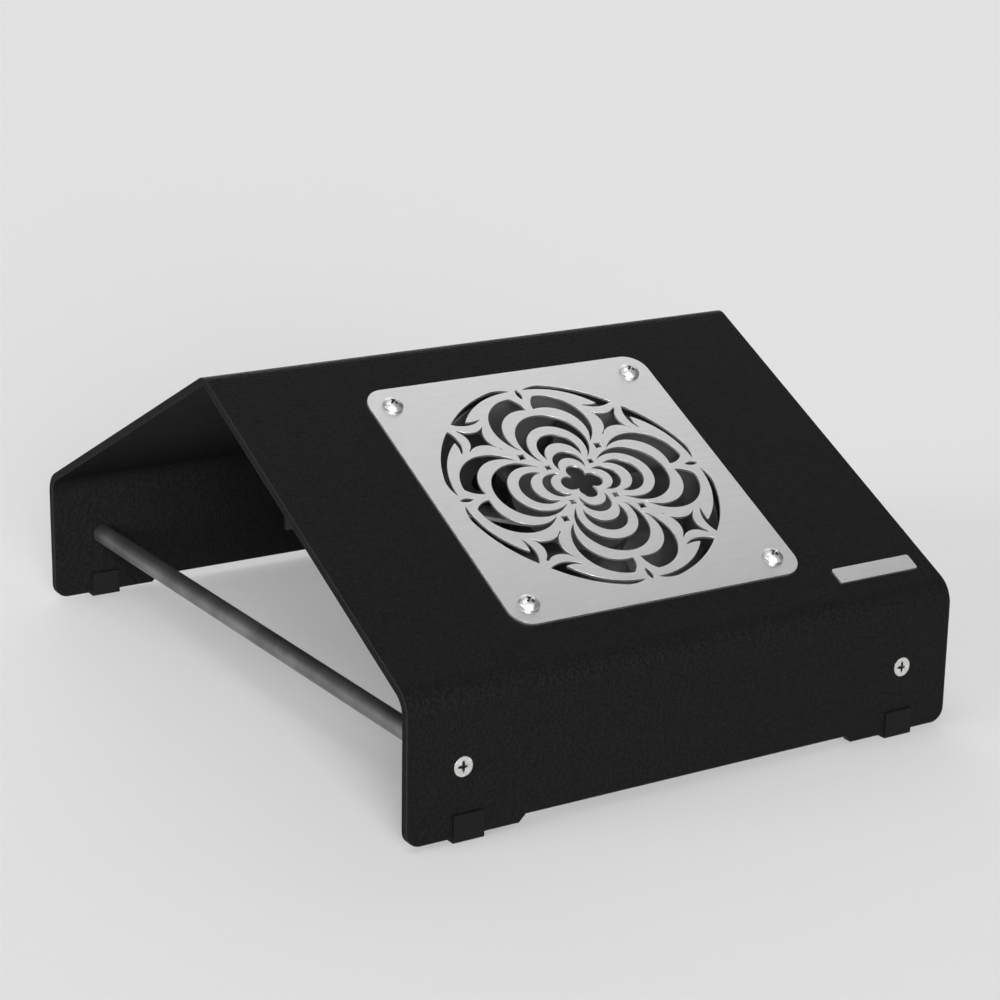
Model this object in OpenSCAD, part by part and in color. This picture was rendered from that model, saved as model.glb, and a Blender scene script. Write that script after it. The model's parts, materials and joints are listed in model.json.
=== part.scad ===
// Table-top dust collector: a bent sheet stand with an axial fan under a rosette grille.
// Origin: centre of the footprint, on the surface that the feet stand on. +Z up, the grille slopes
// down towards -Y, and the ridge runs along X.

/* [Stand] */
// Width of the stand along its ridge
stand_w = 300; // [290:1:340]
// Depth of the stand, front leg to rear leg
stand_d = 380; // [372:1:420]
// Height of the leg bends above the legs' lower edge
leg_h = 67.5; // [64:0.5:80]
// Height of the ridge's sharp corner above the legs' lower edge
ridge_h = 165.5; // [160:0.5:180]
// Thickness of the bent sheet
sheet_t = 4; // [3:0.5:4.5]
// Outer radius of the two leg bends
leg_bend_r = 14; // [8:0.5:18]
// Outer radius of the ridge bend
ridge_bend_r = 8; // [6:0.5:14]
// Radius of the legs' lower corners
corner_r = 7; // [3:0.5:12]
// Half length of the relief in each leg's lower edge
relief_half = 89.5; // [70:0.5:95]
// Height of the relief
relief_h = 3.5; // [2:0.5:5]

/* [Grille] */
// Side of the square grille plate
grille_w = 160; // [158:1:170]
// Thickness of the grille plate
grille_t = 1.2; // [1:0.1:2]
// Radius of the grille plate's corners
grille_r = 11; // [4:0.5:14]
// Distance of each grille screw from the plate's middle lines
grille_screw = 68; // [67:0.5:70]
// Outer radius of the rosette
rosette_r = 68.5; // [67:0.5:68.5]

/* [Feet and rods] */
// Distance from the legs' lower edge down to the table
foot_drop = 2; // [1:0.5:4]
// Width of a rubber foot
foot_w = 15.5; // [12:0.5:22]
// Height of a rubber foot above the legs' lower edge
foot_h = 11; // [8:0.5:18]
// Thickness of a foot's side walls
foot_wall = 1.5; // [1:0.1:2.5]
// Distance of each tie rod from the middle of the stand
rod_x = 122; // [118:0.5:130]
// Height of the tie rods above the legs' lower edge
rod_z = 32.5; // [28:0.5:40]
// Radius of a tie rod
rod_r = 5; // [4:0.5:6]

/* [Fan] */
// Inner radius of the fan's duct
duct_r = 68.5; // [68:0.5:69]
// Wall of the duct
duct_t = 1.5; // [1:0.1:2]
// Depth of the duct's lower end below the slope's outer face
duct_depth = 77; // [76:0.5:78]
// Radius of the impeller's hub
hub_r = 30; // [26:0.5:32]
// Radius of the impeller's blade tips
tip_r = 66.5; // [60:0.5:66.5]
// Number of blades
blades = 7; // [5:1:9]
// Pitch of the blades, from the plane of rotation
blade_pitch = 36; // [28:1:42]

/* [Rear panel] */
// Middle of the rocker switch along the rear leg
switch_x = 22; // [18:1:24]
// Middle of the power inlet along the rear leg
inlet_x = 68; // [66:1:70]
// Height of switch and inlet above the table
panel_z = 35; // [33:1:37]

/* [Hidden] */
$fn = 96;
lap = 0.02;       // overlap that fuses neighbouring stretches of one piece
through = 1;      // how far a cutter runs past a face

// Stand geometry
slope_a = atan2(ridge_h - leg_h, stand_d / 2);
slope_len = norm([stand_d / 2, ridge_h - leg_h]);
bend_slack = 0.004;
slope_mid_z = foot_drop + (leg_h + ridge_h) / 2;
rear_y = stand_d / 2;
inner_y = rear_y - sheet_t;
panel_hole_r = duct_r + 0.5;

// Rosette: along each lobe's axis, [centre, radius] of the outer and the inner circle of a crescent
CRESCENTS = [
    [[13.1, 8], [9.5, 6.9]],
    [[22.8, 11], [17.7, 9.5]],
    [[29.3, 18.5], [24.3, 15.1]]
];
core_lobe = [6.5, 4.7];

// Screws
m5_r = 2.5;
m5_hole_r = 2.65;
m3_r = 1.5;
m3_hole_r = 1.7;
csk_head_r = 4.65;
csk_depth = csk_head_r - m5_r;
head_proud = 0.3;

// Fan stack, as depths below the slope's outer face
gasket_t = 1.5;
gasket_d = sheet_t;
flange_t = 2;
flange_w = 156;
flange_r = 10;
flange_d = gasket_d + gasket_t;
hub_top_d = 15;
hub_end_d = 38;
blade_mid_d = 24.5;
shaft_r = 4;
motor_r = 30;
motor_wall = 1.5;
plate_d = 41;
plate_t = 2;
can_d = plate_d + plate_t;
can_end_d = 73.5;
bearing_r = 11;
bearing_w = 7;
seat_r = 13.5;
shaft_hole_r = 5;
slots = 8;
slot_r = 22.5;
stator_d = 52;
stator_end_d = 62;
stator_in_r = 16.5;
rotor_r = 16;
bracket_t = 2.5;
tab_top_d = 56;
tab_screw_d = 61;
tab_t = 2;
arm_x0 = 20;
arm_w = 10;
bracket_disc_r = 24;
bracket_bore_r = 6;
motor_screw_r = 17;
lead_hole_r = 4.5;
lead_d = 58;

// Supply lead
lead_r = 3;
clip_s = [-28, 32];
clip_h = -5.6;
clip_bore_r = lead_r + 0.8;
clip_w = 6;
clip_base = 14;
gland_y = 160;
gland_r = 5;
lead_x = 42;
cover_top_z = 58;

// Switch and wiring cover
rocker_tilt = 10;
cover_x0 = 0;
cover_x1 = 100;
cover_y = 146;
cover_z0 = 12;
cover_t = 2;
ear_w = 11;
ear_t = 3;
switch_w = 13;
switch_h = 19;

// Power inlet: its body, its flange and its two screws
inlet_w = 28;
inlet_h = 20.4;
inlet_flange_t = 2.5;
inlet_screw = 20;

// Bag
bag_t = 2;
bag_gap = 1.3;
cuff_top_d = 66;
cuff_end_d = 75;
bag_mouth_d = 79;
cuff_r = duct_r + duct_t + bag_gap;

// [centre, radius] of the bag's two low folds in front and its three full cheeks behind
BAG_BULGES = [
    [[-32, -112, 8.5], 7.5], [[48, -112, 8.5], 7.5],
    [[-14, -22, 27], 26], [[38, 12, 27], 26], [[78, -42, 27], 26]
];

// ---------------------------------------------------------------- placing

module on_slope() {
    translate([0, -stand_d / 4, slope_mid_z]) rotate([slope_a, 0, 0]) children();
}

module on_rear_slope() {
    translate([0, stand_d / 4, slope_mid_z]) rotate([-slope_a, 0, 0]) children();
}

// From the slope's outer face down to a depth
module at_depth(d) {
    translate([0, 0, -d]) children();
}

module disc(r, d0, d1) {
    translate([0, 0, -d1]) cylinder(r = r, h = d1 - d0);
}

module ring(r_out, r_in, d0, d1) {
    difference() {
        disc(r_out, d0, d1);
        disc(r_in, d0 - through, d1 + through);
    }
}

module along_x(w) {
    rotate([90, 0, 90]) linear_extrude(w, center = true) children();
}

module along_y(w) {
    rotate([90, 0, 0]) linear_extrude(w, center = true) children();
}

module four_corners(p) {
    for (sx = [-1, 1], sy = [-1, 1]) translate([sx * p, sy * p, 0]) children();
}

module round_square(w, h, r) {
    square([w - 2 * r, h], center = true);
    square([w, h - 2 * r], center = true);
    for (sx = [-1, 1], sy = [-1, 1]) translate([sx * (w / 2 - r), sy * (h / 2 - r)]) circle(r);
}

module hexagon(across) {
    circle(r = across / 2 / cos(30), $fn = 6);
}

// ---------------------------------------------------------------- fasteners

// Cross recess, cut downwards from z = 0
module cross_recess(r, depth) {
    intersection() {
        translate([0, 0, -depth]) cylinder(r1 = r * 0.35, r2 = r, h = depth + 0.01);
        translate([0, 0, -depth]) linear_extrude(depth + through) for (a = [0, 90]) rotate(a) {
            polygon([
                [-r, -r * 0.17], [0, -r * 0.34], [r, -r * 0.17],
                [r, r * 0.17], [0, r * 0.34], [-r, r * 0.17]
            ]);
        }
    }
}

// Countersunk screw: its seat's rim is at z = 0 and its shank runs down
module csk_screw(len) {
    difference() {
        union() {
            cylinder(r = csk_head_r, h = head_proud);
            translate([0, 0, -csk_depth]) cylinder(r1 = m5_r, r2 = csk_head_r, h = csk_depth);
            translate([0, 0, -len]) cylinder(r = m5_r, h = len);
        }
        translate([0, 0, head_proud]) cross_recess(2.7, 2.4);
    }
}

module csk_hole() {
    translate([0, 0, -csk_depth]) cylinder(r1 = m5_r + 0.1, r2 = csk_head_r + 0.1, h = csk_depth);
    translate([0, 0, -lap]) cylinder(r = csk_head_r + 0.1, h = through);
    translate([0, 0, -sheet_t - through]) cylinder(r = m5_hole_r, h = sheet_t + through);
}

// Domed pan head on z = 0 with its shank below
module pan_screw(head_r, head_h, shank_r, len, recess_r) {
    dome = head_h * 0.7;
    dome_r = (head_r * head_r + dome * dome) / (2 * dome);
    difference() {
        union() {
            intersection() {
                cylinder(r = head_r, h = head_h);
                translate([0, 0, head_h - dome_r]) sphere(r = dome_r);
            }
            translate([0, 0, -len]) cylinder(r = shank_r, h = len + lap);
        }
        translate([0, 0, head_h]) cross_recess(recess_r, head_h * 0.7);
    }
}

module nut(across, h, bore_r) {
    difference() {
        linear_extrude(h) hexagon(across);
        translate([0, 0, -through]) cylinder(r = bore_r, h = h + 2 * through);
    }
}

// ---------------------------------------------------------------- stand

// What a bend of radius r takes off the sharp corner at the origin, between directions a0 and a1
module bend_cut(r, a0, a1) {
    half = (a1 - a0) / 2;
    mid = (a0 + a1) / 2;
    far = 3 * r;
    rotate(mid) translate([-r / cos(half), 0]) difference() {
        polygon([[0, 0], far * [cos(half), -sin(half)], far * [1, 0], far * [cos(half), sin(half)]]);
        circle(r + bend_slack);
    }
}

// The front half of the space under a skin whose faces lie `in` below the panel's outer ones
module under_skin(in) {
    side_y = in - stand_d / 2;
    knee_z = foot_drop + leg_h - in * (1 - sin(slope_a)) / cos(slope_a);
    top_z = foot_drop + ridge_h - in / cos(slope_a);
    low_z = in > 0 ? -through : foot_drop;
    difference() {
        polygon([[side_y, low_z], [side_y, knee_z], [0, top_z], [through, top_z], [through, low_z]]);
        translate([side_y, knee_z]) bend_cut(leg_bend_r - in, 90 + slope_a, 180);
        translate([0, top_z]) bend_cut(ridge_bend_r - in, 90 - slope_a, 90 + slope_a);
    }
}

module both_halves() {
    children();
    mirror([1, 0]) children();
}

module leg_relief() {
    polygon([
        [-relief_half - relief_h - 1, foot_drop - 1], [-relief_half, foot_drop + relief_h],
        [relief_half, foot_drop + relief_h], [relief_half + relief_h + 1, foot_drop - 1]
    ]);
}

module leg_corner() {
    translate([stand_w / 2 - corner_r, foot_drop]) difference() {
        translate([0, -1]) square([corner_r + 1, corner_r + 1]);
        translate([0, corner_r]) circle(corner_r);
    }
}

module rod_screw_places() {
    for (sx = [-1, 1], side = [0, 180]) rotate(side)
        translate([sx * rod_x, -stand_d / 2, foot_drop + rod_z]) rotate([90, 0, 0]) children();
}

module stand_panel() {
    color("#202122") difference() {
        along_x(stand_w) difference() {
            both_halves() under_skin(0);
            both_halves() under_skin(sheet_t);
        }
        along_y(stand_d + 2) {
            leg_relief();
            both_halves() leg_corner();
        }
        on_slope() {
            disc(panel_hole_r, -through, sheet_t + through);
            four_corners(grille_screw) disc(m5_hole_r, -through, sheet_t + through);
        }
        rod_screw_places() csk_hole();
        translate([switch_x, rear_y, panel_z]) cube([switch_w, 4 * sheet_t, switch_h], center = true);
        translate([inlet_x, rear_y, panel_z]) cube([inlet_w, 4 * sheet_t, inlet_h], center = true);
        inlet_screw_places() cylinder(r = m3_hole_r, h = 4 * sheet_t, center = true);
        cover_screw_places() cylinder(r = m3_hole_r, h = 4 * sheet_t, center = true);
    }
}

// Clip under a leg, seen from that leg's own side: 0 is the front, 180 the rear
module foot(along, side) {
    foot_total = foot_h + foot_drop;
    color("#17181a") rotate(side) translate([along, (sheet_t - stand_d) / 2, 0]) along_x(foot_w) {
        difference() {
            translate([0, foot_total / 2]) round_square(sheet_t + 2 * foot_wall, foot_total, 0.8);
            translate([-sheet_t / 2, foot_drop]) square([sheet_t, foot_h + through]);
        }
    }
}

module tie_rod(x) {
    color("#8b8e90") translate([x, 0, foot_drop + rod_z]) difference() {
        rotate([90, 0, 0]) cylinder(r = rod_r, h = 2 * inner_y, center = true);
        for (side = [0, 180]) rotate(side) translate([0, -inner_y - through, 0]) rotate([-90, 0, 0])
            cylinder(r = m5_r, h = 14 + through);
    }
}

module tie_rod_screws() {
    color("#d8d8d6") rod_screw_places() csk_screw(16);
}

// ---------------------------------------------------------------- grille

module leaf(half_len, half_w) {
    r = (half_len * half_len + half_w * half_w) / (2 * half_w);
    intersection() {
        translate([r - half_w, 0]) circle(r);
        translate([half_w - r, 0]) circle(r);
    }
}

// Outermost slot of a lobe: one side of it, split off by a rib along the lobe's axis
module split_slot() {
    intersection() {
        difference() {
            translate([6.4, 41]) circle(20.4);
            translate([5.6, 35.5]) circle(17);
        }
        union() {
            translate([13.7, 52]) circle(11.7);
            translate([8, 20]) square([22, 45]);
        }
    }
}

// Slit that follows the rim, rounded beside the lobe's axis, with a hook beside the diagonal
module rim_slit() {
    intersection() {
        translate([-2, 2.5]) circle(rosette_r - 1.2);
        union() {
            difference() {
                union() {
                    translate([16, 49.9]) square([34, 20]);
                    intersection() {
                        translate([11.2, 50]) circle(18.1);
                        translate([3.9, 60]) square([14, 12]);
                    }
                }
                translate([4.3, 23.9]) circle(42.3);
            }
            intersection() {
                translate([37.9, 62.7]) circle(15.2);
                difference() {
                    polygon([[28, 44], [50, 44], [50, 53], [39, 53], [33, 50.4], [28, 50.4]]);
                    translate([34.5, 62]) circle(12.2);
                }
            }
        }
    }
}

// Star with hollow sides on the diagonal
module large_star() {
    difference() {
        polygon([[28.4, 28.4], [45.7, 30.3], [45.2, 45.2], [30.3, 45.7]]);
        for (m = [0, 1]) mirror([m, -m, 0]) {
            translate([22.45, 38]) circle(10.8);
            translate([37.7, 51.45]) circle(9.05);
        }
    }
}

module small_star(c, h) {
    side_r = 2.2 * h;
    sink = 0.35 * h;
    difference() {
        translate([c, c]) square(2 * h, center = true);
        for (a = [0:90:270]) translate([c, c]) rotate(a) translate([h + side_r - sink, 0]) circle(side_r);
    }
}

module rosette() {
    circle(core_lobe[1] - 0.5);
    for (a = [0:90:270]) rotate(a) {
        translate([0, core_lobe[0]]) circle(core_lobe[1]);
        for (c = CRESCENTS) difference() {
            translate([0, c[0][0]]) circle(c[0][1]);
            translate([0, c[1][0]]) circle(c[1][1]);
        }
        for (m = [0, 1]) mirror([m, 0]) {
            split_slot();
            rim_slit();
        }
        translate([0, rosette_r - 5]) leaf(3.8, 1.3);
        large_star();
        small_star(21.6, 2.5);
        small_star(12.1, 2.1);
    }
}

module grille_plate() {
    color("#c9c8c4") on_slope() linear_extrude(grille_t) difference() {
        round_square(grille_w, grille_w, grille_r);
        rosette();
        four_corners(grille_screw) circle(m5_hole_r);
    }
}

module grille_screws() {
    color("#e4e4e2") on_slope() four_corners(grille_screw) translate([0, 0, grille_t])
        rotate(25) pan_screw(5, 3.4, m5_r, 16, 2.6);
}

module grille_nuts() {
    nut_h = 4;
    color("#c0c2c4") on_slope() four_corners(grille_screw) at_depth(flange_d + flange_t + nut_h)
        nut(8, nut_h, m5_r);
}

module name_plate() {
    name_w = 46.5;
    name_h = 9.2;
    edge_gap = 10;
    color("#cfcecb") on_slope()
        translate([stand_w / 2 - edge_gap - name_w / 2, 20 - slope_len / 2, 0]) linear_extrude(1)
            round_square(name_w, name_h, 1.2);
}

// ---------------------------------------------------------------- fan

module fan_gasket() {
    color("#2b2b2c") on_slope() at_depth(gasket_d + gasket_t) linear_extrude(gasket_t) difference() {
        round_square(flange_w, flange_w, flange_r);
        circle(duct_r + duct_t);
        four_corners(grille_screw) circle(m5_hole_r);
    }
}

module bracket_turn() {
    for (a = [45:90:315]) rotate(a) children();
}

module motor_screw_turn() {
    for (a = [0:120:240]) rotate(a) translate([motor_screw_r, 0, 0]) children();
}

module fan_housing() {
    color("#a9adb0") on_slope() difference() {
        union() {
            at_depth(flange_d + flange_t) linear_extrude(flange_t) difference() {
                round_square(flange_w, flange_w, flange_r);
                circle(duct_r);
                four_corners(grille_screw) circle(m5_hole_r);
            }
            ring(duct_r + duct_t, duct_r, flange_d, duct_depth);
            ring(duct_r + duct_t + 0.8, duct_r, duct_depth - 1.6, duct_depth);
        }
        bracket_turn() at_depth(tab_screw_d) rotate([0, 90, 0]) cylinder(r = 2.1, h = duct_r + 4);
        at_depth(lead_d) rotate([-90, 0, 0]) cylinder(r = lead_hole_r, h = duct_r + 4);
    }
}

module motor_bracket() {
    color("#8f9396") on_slope() difference() {
        union() {
            disc(bracket_disc_r, can_end_d, can_end_d + bracket_t);
            bracket_turn() {
                translate([arm_x0, -arm_w / 2, -can_end_d - bracket_t])
                    cube([duct_r - tab_t / 2 - arm_x0 - 0.5, arm_w, bracket_t]);
                intersection() {
                    ring(duct_r, duct_r - tab_t, tab_top_d, can_end_d + bracket_t);
                    translate([duct_r - 2 * tab_t, -arm_w / 2, -can_end_d - bracket_t])
                        cube([3 * tab_t, arm_w, can_end_d + bracket_t - tab_top_d + through]);
                }
            }
        }
        bracket_turn() at_depth(tab_screw_d) rotate([0, 90, 0]) cylinder(r = 2, h = duct_r + 4);
        motor_screw_turn() disc(m3_r + 0.1, can_end_d - through, can_end_d + bracket_t + through);
        disc(bracket_bore_r, can_end_d - through, can_end_d + bracket_t + through);
    }
}

module bracket_screws() {
    color("#d0d2d3") on_slope() bracket_turn() translate([duct_r + duct_t + 0.1, 0, -tab_screw_d])
        rotate([0, 90, 0]) pan_screw(3.6, 2.4, 2, 7, 1.9);
}

module vent_turn(r) {
    for (a = [30:60:330]) rotate(a) translate([r, 0, 0]) children();
}

module motor_can() {
    color("#5c6064") on_slope() difference() {
        disc(motor_r, can_d, can_end_d);
        disc(motor_r - motor_wall, can_d - through, can_end_d - bearing_w - 2);
        difference() {
            disc(motor_r - motor_wall, can_d, can_end_d - motor_wall);
            disc(seat_r, can_d - through, can_end_d);
        }
        disc(bearing_r, can_d, can_end_d - motor_wall);
        disc(shaft_hole_r, can_d, can_end_d + through);
        motor_screw_turn() disc(m3_r, can_end_d - 2 * motor_wall, can_end_d + through);
        at_depth(lead_d) rotate([-90, 0, 0]) cylinder(r = lead_r + 0.2, h = motor_r + 2);
        vent_turn(24) disc(2.5, can_end_d - 2 * motor_wall, can_end_d + through);
    }
}

module motor_front_plate() {
    color("#6a6e72") on_slope() difference() {
        union() {
            disc(motor_r, plate_d, can_d);
            disc(seat_r, plate_d, can_d + bearing_w);
        }
        disc(bearing_r, can_d, can_d + bearing_w + through);
        disc(shaft_hole_r, plate_d - through, can_d + through);
        vent_turn(21.5) disc(3, plate_d - through, can_d + through);
    }
}

module motor_screws() {
    color("#d0d2d3") on_slope() motor_screw_turn() at_depth(can_end_d + bracket_t) rotate([180, 0, 0])
        pan_screw(2.8, 2, m3_r, bracket_t + 1.4, 1.5);
}

module stator_core() {
    color("#83878a") on_slope() difference() {
        disc(motor_r - motor_wall, stator_d, stator_end_d);
        disc(stator_in_r, stator_d - through, stator_end_d + through);
        for (i = [0:slots - 1]) rotate((i + 0.5) * 360 / slots) {
            translate([slot_r, 0, 0]) disc(3, stator_d - through, stator_end_d + through);
            translate([15, -0.8, -stator_end_d - through])
                cube([7, 1.6, stator_end_d - stator_d + 2 * through]);
        }
    }
}

module stator_coils() {
    color("#b5692f") on_slope() for (i = [0:slots - 1]) rotate((i + 0.5) * 360 / slots)
        translate([slot_r, 0, 0]) disc(2.8, stator_d - 1, stator_end_d + 1);
}

module rotor_core() {
    color("#777b7e") on_slope() difference() {
        disc(rotor_r, stator_d, stator_end_d);
        disc(shaft_r, stator_d - through, stator_end_d + through);
        for (a = [0:45:315]) rotate(a) translate([12, 0, 0])
            disc(1.5, stator_d - through, stator_end_d + through);
    }
}

module motor_shaft() {
    color("#b9bcbe") on_slope() {
        disc(3, 8, 16 + lap);
        disc(shaft_r, 16, can_end_d - motor_wall - 0.3);
    }
}

module bearing(d0) {
    balls = 7;
    outer_race_r = 8.9;
    inner_race_r = 6.2;
    ball_r = 1.25;
    shield_in = 0.4;
    shield_t = 0.6;
    color("#c4c7c9") on_slope() {
        ring(bearing_r, outer_race_r, d0, d0 + bearing_w);
        ring(inner_race_r, shaft_r + 0.05, d0, d0 + bearing_w);
        for (i = [0:balls - 1]) rotate(i * 360 / balls)
            translate([(outer_race_r + inner_race_r) / 2, 0, -d0 - bearing_w / 2])
                sphere(r = ball_r, $fn = 24);
        for (d = [d0 + shield_in, d0 + bearing_w - shield_in - shield_t])
            ring(outer_race_r, inner_race_r, d, d + shield_t);
    }
}

// One blade: a cambered plate along +X, trimmed at the hub and at the tip circle
module blade() {
    chord = 36;
    camber_r = 46;
    blade_t = 1.8;
    intersection() {
        ring(tip_r, hub_r - 1.2, hub_top_d + 1, hub_end_d);
        at_depth(blade_mid_d) rotate([0, 90, 0]) linear_extrude(tip_r + 2) rotate(90 + blade_pitch)
            intersection() {
                translate([0, -camber_r]) difference() {
                    circle(camber_r + blade_t / 2);
                    circle(camber_r - blade_t / 2);
                }
                square([chord, chord], center = true);
            }
    }
}

module impeller() {
    color("#26282a") on_slope() {
        difference() {
            union() {
                disc(hub_r, hub_top_d, hub_end_d);
                for (i = [0:blades - 1]) rotate(i * 360 / blades) blade();
            }
            ring(hub_r - 2, 8, hub_top_d + 2.5, hub_end_d + through);
            disc(8.5, hub_end_d - 2, hub_end_d + through);
            disc(shaft_r, 16, hub_end_d + through);
            disc(3, hub_top_d - through, 17);
        }
    }
}

module impeller_nut() {
    color("#cfd1d2") on_slope() {
        ring(6, 3, hub_top_d - 1, hub_top_d);
        at_depth(hub_top_d - 1) nut(10, 5, 3);
    }
}

// ---------------------------------------------------------------- wiring

module lead_grommet() {
    lip_r = lead_hole_r + 2;
    color("#1b1b1c") on_slope() at_depth(lead_d) rotate([-90, 0, 0]) difference() {
        union() {
            translate([0, 0, duct_r - 1.9]) cylinder(r = lip_r, h = 1.5);
            translate([0, 0, duct_r - 1]) cylinder(r = lead_hole_r, h = duct_t + 2);
            translate([0, 0, duct_r + duct_t]) cylinder(r = lip_r, h = 1.8);
        }
        translate([0, 0, duct_r - 4]) cylinder(r = lead_r + 0.1, h = duct_t + 8);
    }
}

// A point s along the front or the rear slope from its middle and h above its outer face
function slope_point(x, s, h) = [
    x,
    -stand_d / 4 + s * cos(slope_a) - h * sin(slope_a),
    slope_mid_z + s * sin(slope_a) + h * cos(slope_a)
];
function rear_point(x, s, h) = [
    x,
    stand_d / 4 + s * cos(slope_a) + h * sin(slope_a),
    slope_mid_z - s * sin(slope_a) + h * cos(slope_a)
];

// The lead's route from inside the wiring cover, along the rear slope, to the motor
LEAD = [
    [lead_x, gland_y, 48], [lead_x, gland_y, 56],
    [lead_x, gland_y, 64], [lead_x, gland_y - 0.5, 70],
    rear_point(lead_x, 60, -12), rear_point(lead_x, clip_s[1], clip_h - sheet_t),
    rear_point(lead_x, 2, clip_h - sheet_t - 2), rear_point(lead_x, clip_s[0], clip_h - sheet_t),
    rear_point(lead_x - 10, -58, -22), slope_point(12, 102, -lead_d + 1),
    slope_point(2, 87, -lead_d), slope_point(0, 76, -lead_d),
    slope_point(0, 64, -lead_d), slope_point(0, 48, -lead_d), slope_point(0, 29.5, -lead_d)
];

// Smooth curve through four neighbouring points
function spline(a, b, c, d, t) =
    0.5 * (2 * b + (c - a) * t + (2 * a - 5 * b + 4 * c - d) * t * t + (3 * b - a - 3 * c + d) * t * t * t);
function clamp_at(path, i) = path[max(0, min(len(path) - 1, i))];
function smooth(path, n) = [
    for (i = [0:len(path) - 2], k = [0:n - 1])
        spline(clamp_at(path, i - 1), path[i], path[i + 1], clamp_at(path, i + 2), k / n),
    path[len(path) - 1]
];
function unit(v) = v / norm(v);
function tangent(path, i) = unit(clamp_at(path, i + 1) - clamp_at(path, i - 1));

// Sweep a round section along a path; side is a direction that the path never follows
module tube(path, r, sides, side) {
    points = [
        for (i = [0:len(path) - 1], k = [0:sides - 1])
            let (t = tangent(path, i), u = unit(cross(t, side)), v = cross(t, u), a = k * 360 / sides)
                path[i] + r * (cos(a) * u + sin(a) * v)
    ];
    rings = len(path);
    faces = concat(
        [[for (k = [0:sides - 1]) k]],
        [[for (k = [sides - 1:-1:0]) (rings - 1) * sides + k]],
        [
            for (i = [0:rings - 2], k = [0:sides - 1])
                let (here = i * sides, ahead = here + sides, next = (k + 1) % sides)
                    [here + k, ahead + k, ahead + next, here + next]
        ]
    );
    polyhedron(points, faces, convexity = 8);
}

module motor_lead() {
    color("#1e1f21") tube(smooth(LEAD, 4), lead_r, 10, [1, 0.05, 0.03]);
}

module lead_clips() {
    color("#26272a") on_rear_slope() for (s = clip_s) translate([lead_x, s, -sheet_t]) {
        translate([0, 0, -1]) cube([clip_base, clip_base, 2], center = true);
        translate([0, 0, clip_h]) rotate([90, 0, 0]) difference() {
            union() {
                cylinder(r = clip_bore_r + 1.4, h = clip_w, center = true);
                translate([-2, 0, -clip_w / 2]) cube([4, -clip_h - 1, clip_w]);
            }
            cylinder(r = clip_bore_r, h = clip_w + 2 * through, center = true);
        }
    }
}

module lead_gland() {
    color("#232426") translate([lead_x, gland_y, cover_top_z]) difference() {
        union() {
            translate([0, 0, -cover_t - 2]) cylinder(r = gland_r + 2, h = 2);
            translate([0, 0, -cover_t - 1]) cylinder(r = gland_r, h = cover_t + 2);
            cylinder(r = gland_r + 2, h = 2);
            cylinder(r1 = gland_r + 0.5, r2 = gland_r - 0.8, h = 6);
        }
        translate([0, 0, -10]) cylinder(r = lead_r + 0.15, h = 20);
    }
}

module cover_screw_places() {
    for (x = [cover_x0 - ear_w / 2, cover_x1 + ear_w / 2])
        translate([x, rear_y, panel_z]) rotate([-90, 0, 0]) children();
}

module wiring_cover() {
    h = cover_top_z - cover_z0;
    w = cover_x1 - cover_x0;
    depth = inner_y - cover_y;
    color("#2a2c2e") difference() {
        union() {
            translate([cover_x0, cover_y, cover_z0]) cube([w, depth, h]);
            translate([cover_x0 - ear_w, inner_y - ear_t, cover_z0 + 8])
                cube([w + 2 * ear_w, ear_t, h - 16]);
        }
        translate([cover_x0 + cover_t, cover_y + cover_t, cover_z0 + cover_t])
            cube([w - 2 * cover_t, depth, h - 2 * cover_t]);
        translate([lead_x, gland_y, cover_top_z - cover_t - through])
            cylinder(r = gland_r, h = cover_t + 2 * through);
        cover_screw_places() cylinder(r = m3_r, h = 40, center = true);
        for (i = [0:6]) translate([cover_x0 + 14 + i * 12, cover_y - through, cover_z0 + 12])
            cube([3, cover_t + 2 * through, 22]);
    }
}

module wiring_cover_screws() {
    color("#c8cacc") cover_screw_places() pan_screw(2.9, 2, m3_r, sheet_t + ear_t + 1, 1.5);
}

module terminal_block() {
    ways = 3;
    color("#d9d6cc") difference() {
        translate([cover_x0 + 8, cover_y + cover_t, cover_z0 + 4]) cube([10 * ways, 15, 12]);
        for (i = [0:ways - 1]) translate([cover_x0 + 13 + 10 * i, cover_y + cover_t + 5, cover_z0]) {
            translate([0, 5, 7]) cylinder(r = 2.2, h = 12);
            translate([0, 4, 10]) rotate([-90, 0, 0]) cylinder(r = 2, h = 10);
        }
    }
}

module switch_body() {
    color("#1c1d1f") translate([switch_x, rear_y, panel_z]) difference() {
        union() {
            translate([0, 2, 0]) rotate([90, 0, 0]) linear_extrude(2) round_square(15, 21, 1.5);
            translate([0, -8, 0]) cube([switch_w, 16, switch_h], center = true);
        }
        translate([0, -2, 0]) cube([10.4, 10, 15.4], center = true);
        for (sz = [-6, 0, 6]) translate([0, -15.5, sz]) cube([4, 3, 1], center = true);
        translate([0, -1, 0]) rotate([0, 90, 0]) cylinder(r = 1.1, h = 12.4, center = true);
    }
}

// Rocker with a shallow V face, shown switched off: its lower half is pressed in
module switch_rocker() {
    dip = 1.5;
    rise = 7 * tan(rocker_tilt);
    color("#151617") translate([switch_x, rear_y - 1, panel_z]) {
        rotate([-rocker_tilt, 0, 0]) along_x(9.6)
            polygon([[-4, -5], [dip + rise, -7], [dip, 0], [dip + rise, 7], [-4, 5]]);
        rotate([0, 90, 0]) cylinder(r = 1.05, h = 11.8, center = true);
    }
}

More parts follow.
